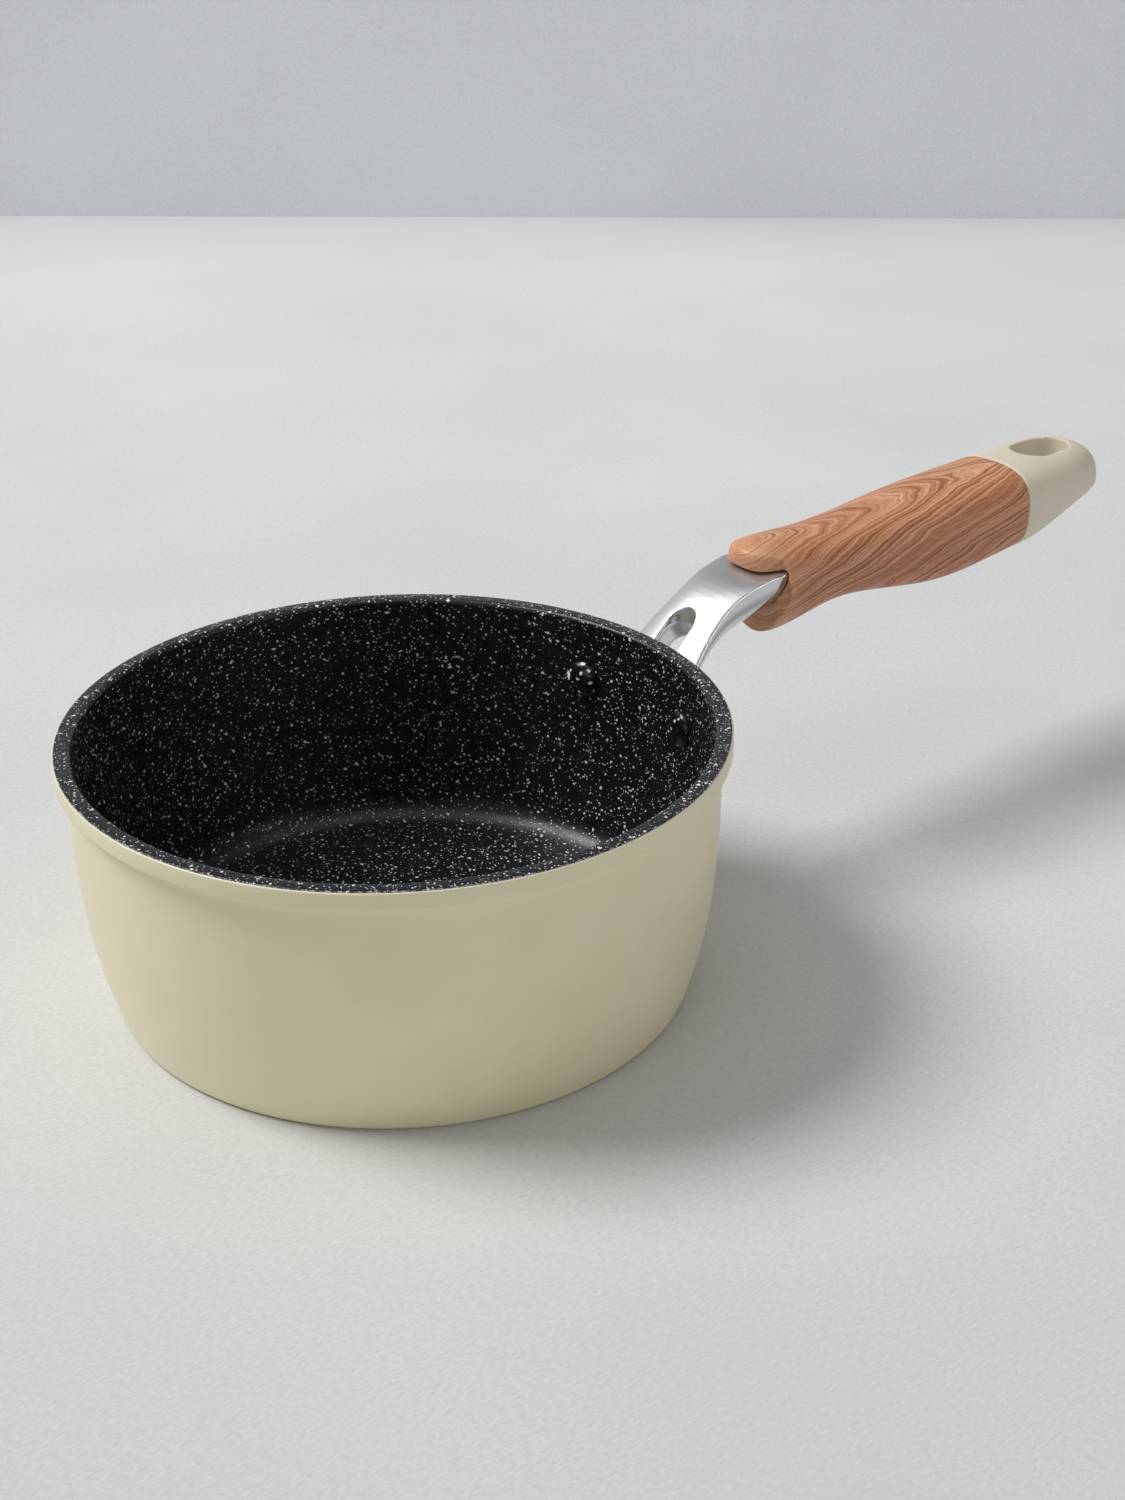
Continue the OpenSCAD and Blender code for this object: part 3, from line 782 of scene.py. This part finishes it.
def makeBracket():
    neck = looseObject(tube([neckRing(step / 26) for step in range(27)]), "bracketCast")
    low, high = rivetZ - bracket["padHeight"] / 2, rivetZ + bracket["padHeight"] / 2
    heights = [low + (high - low) * step / 8 for step in range(9)]
    plate = [(wallRadius(z) + padGap, z) for z in heights]
    plate += [(radius + bracket["padThick"], z) for radius, z in reversed(plate)]
    pad = looseObject(spinLine(upright(plate + plate[:1]), None, 120), "padRing")
    padWidth = bracket["rivetSpacing"] + 2 * bracket["padMargin"]
    mesh = stadium(padWidth, bracket["padHeight"], 0, 60)
    turned = Matrix(((0, 0, 1, 50), (1, 0, 0, 0), (0, 1, 0, rivetZ), (0, 0, 0, 1)))
    bmesh.ops.transform(mesh, matrix=turned, verts=mesh.verts)
    combine(pad, [("INTERSECT", looseObject(mesh, "padOutline"))])
    # the opening between the legs, with a ledge below its upper wall
    gapEnd, run = pan["rimRadius"] + bracket["gapReach"], 40
    opening = stadium(run, bracket["gap"], 40, 110)
    bmesh.ops.translate(opening, vec=(gapEnd - run / 2, 0, 0), verts=opening.verts)
    point, tilt = neckPlace(bracket["ledgePlace"])
    surface = bracket["neckThick"] / 2 * 0.95 + bracket["swell"] * 0.4
    alongNeck = (Matrix.Translation((gapEnd - 1.2, 0, point.y + (gapEnd - point.x) * 0.75))
                 @ Matrix.Rotation(-tilt, 4, "Y") @ Matrix.Translation((-run / 2, 0, 0)))
    ledge = stadium(run + 2 * bracket["ledgeReach"], bracket["gap"] + 2 * bracket["ledgeReach"],
                    -16, surface - bracket["ledgeDepth"])
    bmesh.ops.transform(ledge, verts=ledge.verts, matrix=alongNeck)
    flare = stadium(run, bracket["gap"], surface - 1.5, surface + 1.2)
    top = [vert for vert in flare.verts if vert.co.z > surface]
    bmesh.ops.scale(flare, vec=(1 + 2 * bracket["rimFlare"] / run,
                                1 + 2 * bracket["rimFlare"] / bracket["gap"], 1), verts=top)
    bmesh.ops.transform(flare, verts=flare.verts, matrix=alongNeck)
    wall = bmesh.new()
    reach, depth = pan["wallRadius"] + padGap, 40
    bmesh.ops.create_cone(wall, cap_ends=True, segments=160, radius1=reach, radius2=reach,
                          depth=depth, matrix=Matrix.Translation((0, 0, pan["bandZ"] - depth / 2)))
    wallTool = looseObject(wall, "wallTool")
    combine(neck, [("DIFFERENCE", looseObject(opening, "openingTool")),
                   ("DIFFERENCE", looseObject(ledge, "ledgeTool")),
                   ("DIFFERENCE", looseObject(flare, "flareTool")),
                   ("DIFFERENCE", wallTool), ("UNION", pad)],
            bracket["skin"], bracket["softening"])
    finishPiece(neck, "handle_bracket", castChrome)


makeBracket()
print("bracket made")


grip = {
    "tongue": 6.5,
    "tongueWidth": 19.5,
    "length": 108.0,
    "rises": [(-6.5, 10.4), (0, 12.4), (29.2, 10.4), (73.4, 12.6), (108, 13.6)],
    "drops": [(-6.5, 15.2), (3, 18.2), (29.2, 13.2), (73.4, 18.3), (108, 15.0)],
    "halfWidths": [(-6.5, 13.5), (0, 14.5), (29.2, 14.25), (73.4, 17.0), (108, 17.0)],
    "squares": [(-6.5, 1.9), (0, 1.9), (29.2, 2.45), (73.4, 2.7), (108, 2.9)],
    "mouthSweep": 2.6,      # how far the mouth's edge leans back at its sides
    "neckGap": 0.3,
    "fullRing": 5,          # from the mouth, where the tongue's shape has run out
    "rings": 25,
    "columns": 72,
}


def smoothCurve(keys, x):
    # a smooth line through the keys
    last = len(keys) - 2
    place = max(i for i in range(last + 1) if i == 0 or x >= keys[i][0])

    def slope(i):
        a, b = keys[max(i - 1, 0)], keys[min(i + 1, last + 1)]
        return (b[1] - a[1]) / (b[0] - a[0])

    (x0, y0), (x1, y1) = keys[place], keys[place + 1]
    width = x1 - x0
    t = (x - x0) / width
    m, n = slope(place) * width, slope(place + 1) * width
    return (y0 * (2 * t ** 3 - 3 * t * t + 1) + m * (t ** 3 - 2 * t * t + t)
            + y1 * (3 * t * t - 2 * t ** 3) + n * (t ** 3 - t * t))


def handleSection(halfWidth, rise, drop, square, turn):
    across = halfWidth * signedPower(cos(turn), 2 / square)
    up = signedPower(sin(turn), 2 / square)
    return across, up * (rise if up > 0 else drop)


def gripSection(u, turn):
    return handleSection(smoothCurve(grip["halfWidths"], u), smoothCurve(grip["rises"], u),
                         smoothCurve(grip["drops"], u), smoothCurve(grip["squares"], u), turn)


def tongueReach(across, up):
    # how far the mouth's edge is pulled forward over the neck
    part = min(1, abs(across) / (grip["tongueWidth"] / 2))
    return grip["tongue"] * (1 - part ** 2.6) ** 0.55 if up > 0 else 0


def makeGripShell():
    turns = [2 * pi * step / grip["columns"] for step in range(grip["columns"])]
    wider = 1 + grip["neckGap"] / (bracket["neckWidth"] / 2)
    taller = 1 + grip["neckGap"] / (bracket["neckThick"] / 2)

    def inner(turn):
        across, up = neckSection(0.95, turn)
        return across * wider, handleZ + up * taller

    def sweep(turn):
        across, up = gripSection(0, turn)
        return grip["mouthSweep"] * min(1, abs(across) / 12) ** 2 * min(1, max(0, up + 12) / 8)

    def outer(turn, s, flat=0.0, puffy=0.0):
        # s runs from the mouth's edge, 0, to the first full ring, 1
        reach = tongueReach(*gripSection(0, turn))
        share = reach / grip["tongue"]
        inset = flat + (puffy - flat) * share
        start = sweep(turn) - reach
        u = start + (grip["fullRing"] - start) * s
        across, up = gripSection(u, turn)
        insideAcross, insideZ = inner(turn)
        z = handleZ + up
        return Vector((mouthX + u, across + (insideAcross - across) * inset,
                       z + (insideZ - z) * inset))

    def inside(turn, depth, push=0.0):
        reach = tongueReach(*gripSection(0, turn))
        across, z = inner(turn)
        front = Vector((mouthX + sweep(turn) - reach + push, across, z))
        back = Vector((bracket["pocketX"], across, z))
        return front.lerp(back, depth)

    rings = [[Vector((bracket["pocketX"], p.y * 0.5, handleZ + (p.z - handleZ) * 0.5))
              for p in (inside(turn, 1) for turn in turns)]]
    rings += [[inside(turn, depth) for turn in turns] for depth in (1, 0.9, 0.4)]
    rings += [[inside(turn, 0.0, push) for turn in turns] for push in (1.4, 0.5)]
    for s, flat, puffy in ((0, 0.96, 0.86), (0, 0.5, 0.55), (0, 0.06, 0.24), (0.05, 0, 0.05)):
        rings.append([outer(turn, s, flat, puffy) for turn in turns])
    rings.append([outer(turn, 0.12) for turn in turns])
    for s in (0.25, 0.5, 0.75, 1.0):
        rings.append([outer(turn, s) for turn in turns])
    first = grip["fullRing"]
    for step in range(1, grip["rings"] + 1):
        u = first + (grip["length"] - 0.6 - first) * step / grip["rings"]
        rings.append([Vector((mouthX + u, across, handleZ + up)) for across, up in
                      (gripSection(u, turn) for turn in turns)])
    for u, inset in ((grip["length"] - 0.15, 0.012), (grip["length"] - 0.1, 0.05),
                     (grip["length"] - 0.1, 0.5)):
        rings.append([Vector((mouthX + u, across * (1 - inset), handleZ + up * (1 - inset)))
                      for across, up in (gripSection(u, turn) for turn in turns)])
    shell = looseObject(tube(rings), "gripShell")
    rounding = shell.modifiers.new("rounding", "SUBSURF")
    rounding.levels = rounding.render_levels = 1
    finishPiece(shell, "grip", woodFilm)


cap = {
    "length": 47.0,
    "halfWidth": 17.0,
    "rise": 14.6,
    "drop": 15.0,
    "tipDrop": 3.0,
    "climb": 1.0,           # how far the top climbs towards the tip
    "hangLength": 22.0,
    "hangWidth": 14.4,
    "hangStart": 11.8,
    "columns": 72,
    "boreRadius": 5.15,
    "boreStart": 5.8,       # from the seam
    "skin": 0.5,
    "softening": 6,
}


def capRing(q):
    u = sin(pi / 2 * q)
    nose = (1 - u ** 7) ** 0.55
    step = (1 + cos(pi * min(1, u / 0.85))) / 2
    halfWidth = cap["halfWidth"] * (1 - u ** 3.6) ** 0.5
    rise = (cap["rise"] + cap["climb"] * (1 - step)) * nose - 1
    drop = 1 + (cap["tipDrop"] - 1 + (cap["drop"] - cap["tipDrop"]) * step) * nose
    ring = []
    for place in range(cap["columns"]):
        turn = 2 * pi * place / cap["columns"]
        across, up = handleSection(halfWidth, rise, drop, 2.9 - 0.5 * u, turn)
        ring.append((mouthX + grip["length"] + cap["length"] * u + 0.02, across, handleZ + up))
    return ring


def makeCapShell():
    rings = [capRing(0.985 * step / 40) for step in range(41)]
    body = looseObject(tube(rings), "capShell")
    holeX = mouthX + grip["length"] + cap["hangStart"] + cap["hangLength"] / 2
    hole = stadium(cap["hangLength"], cap["hangWidth"], handleZ - 40, handleZ + 40)
    bmesh.ops.translate(hole, vec=(holeX, 0, 0), verts=hole.verts)
    bore = rod(cap["boreRadius"], mouthX + grip["length"] + cap["boreStart"], holeX, handleZ)
    combine(body, [("DIFFERENCE", looseObject(hole, "holeTool")),
                   ("DIFFERENCE", looseObject(bore, "boreTool"))],
            cap["skin"], cap["softening"])
    finishPiece(body, "end_cap", capCream)


makeGripShell()
makeCapShell()
print("grip and cap made")

hardware = {
    "induction_plate": plateSteel,
    "tie_rod": fastenerSteel,
    "tie_nut": fastenerSteel,
    "flat_washer": fastenerSteel,
    "spring_washer": fastenerSteel,
}
for node, material in hardware.items():
    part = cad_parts[node]
    if not part.material_slots:
        part.data.materials.append(material)
    for place in part.material_slots:
        place.material = material


camera = {
    "place": Vector((-0.320280, -0.480460, 0.355770)),
    "look": Vector((0.554806, 0.702507, -0.445730)),
    "roll": -0.6,
    "lens": 55.2,
}
studio = {
    "floor": srgb(227, 228, 229),
    "wall": srgb(237, 240, 245),
    "wallDistance": 1.49,       # from the camera, along the floor
    "wallTurn": -3.1,
    "wallHeight": 0.6,
    "world": 0.07,
    "worldColour": (0.93, 0.96, 1.0, 1),
}
lights = {                      # towards, distance, size, power, colour
    "keyLight": ((-0.413, 0.475, 0.777), 6.0, 2.8, 270.0, (1.0, 0.985, 0.96)),
    "skyLight": ((0.5, 0.9, 1.6), 2.2, 2.0, 0.3, (0.95, 0.98, 1.0)),
    "frontLight": ((0.35, -0.9, 0.22), 2.2, 1.8, 10.0, (1.0, 0.98, 0.94)),
    "leftLight": ((-1.0, -0.3, 0.25), 2.2, 1.6, 6.0, (1.0, 1.0, 1.0)),
}


def makePaper(name, colour, grainStrength):
    material, tree, shader, position = newFinish(name, Roughness=0.85,
                                                 Specular_IOR_Level=0.25)
    fibres = noise(tree, stretch(tree, position, (0.5, 1.1, 1.0), (0, 0, 0.6)), 1.0, 5.0, 0.7)
    cloud = noise(tree, position, 0.006, 3.0)
    tone = calc(tree, "ADD", calc(tree, "MULTIPLY", fibres, 0.7),
                calc(tree, "MULTIPLY", cloud, 0.3))
    darker = tuple(part * 0.9 for part in colour[:3]) + (1,)
    feed(tree, shader.inputs["Base Color"], mixColour(tree, ramp(tree, tone, 0.4, 0.6),
                                                      darker, colour))
    addBump(tree, shader, fibres, grainStrength, 0.0005)
    return material


ahead = Vector((camera["look"].x, camera["look"].y, 0)).normalized()


def makeStage():
    centre = Vector((camera["place"].x, camera["place"].y, 0))
    heading = atan2(ahead.y, ahead.x)
    floor = bmesh.new()
    bmesh.ops.create_grid(floor, x_segments=8, y_segments=8, size=3.0)
    bmesh.ops.translate(floor, vec=(centre.x, centre.y, 0), verts=floor.verts)
    floorObject = looseObject(floor, "floor")
    floorObject.data.materials.append(makePaper("palePaper", studio["floor"], 0.25))
    wall = bmesh.new()
    bmesh.ops.create_grid(wall, x_segments=8, y_segments=8, size=3.0)
    bmesh.ops.scale(wall, vec=(studio["wallHeight"] / 6, 1, 1), verts=wall.verts)
    standing = Matrix.Rotation(-pi / 2, 4, "Y")
    facing = Matrix.Rotation(heading + radians(studio["wallTurn"]), 4, "Z")
    spot = centre + ahead * studio["wallDistance"]
    bmesh.ops.transform(wall, verts=wall.verts,
                        matrix=Matrix.Translation(spot + Vector((0, 0, studio["wallHeight"] / 2)))
                        @ facing @ standing)
    wallObject = looseObject(wall, "backWall")
    wallObject.data.materials.append(makePaper("wallPaper", studio["wall"], 0.05))


def makeLight(name, towards, distance, size, power, colour, aim=Vector((0, 0, 0))):
    data = bpy.data.lights.new(name, "AREA")
    data.shape = "DISK"
    data.size = size
    data.energy = power
    data.color = colour
    lamp = bpy.data.objects.new(name, data)
    direction = Vector(towards)
    lamp.location = aim + direction.normalized() * distance
    lamp.rotation_euler = direction.to_track_quat("Z", "Y").to_euler()
    bpy.context.collection.objects.link(lamp)


def makeCamera():
    data = bpy.data.cameras.new("viewCamera")
    data.lens = camera["lens"]
    data.sensor_width = 36
    data.clip_start = 0.01
    made = bpy.data.objects.new("viewCamera", data)
    turned = camera["look"].to_track_quat("-Z", "Y").to_matrix().to_4x4()
    made.matrix_world = (Matrix.Translation(camera["place"]) @ turned
                         @ Matrix.Rotation(radians(camera["roll"]), 4, "Z"))
    bpy.context.collection.objects.link(made)
    bpy.context.scene.camera = made


makeStage()
makeCamera()
for name, values in lights.items():
    makeLight(name, *values)
# the wall has its own light, between it and the pan and out of view
makeLight("wallLight", (-ahead.x, -ahead.y, 1.2), 1.2, 1.2, 2.7, (0.97, 0.98, 1.0),
          Vector((camera["place"].x, camera["place"].y, 0.1)) + ahead * studio["wallDistance"])

world = bpy.data.worlds.new("softRoom")
world.use_nodes = True
world.node_tree.nodes["Background"].inputs["Color"].default_value = studio["worldColour"]
world.node_tree.nodes["Background"].inputs["Strength"].default_value = studio["world"]
bpy.context.scene.world = world
bpy.context.scene.view_settings.view_transform = "Standard"
print("stage, lights and camera made")
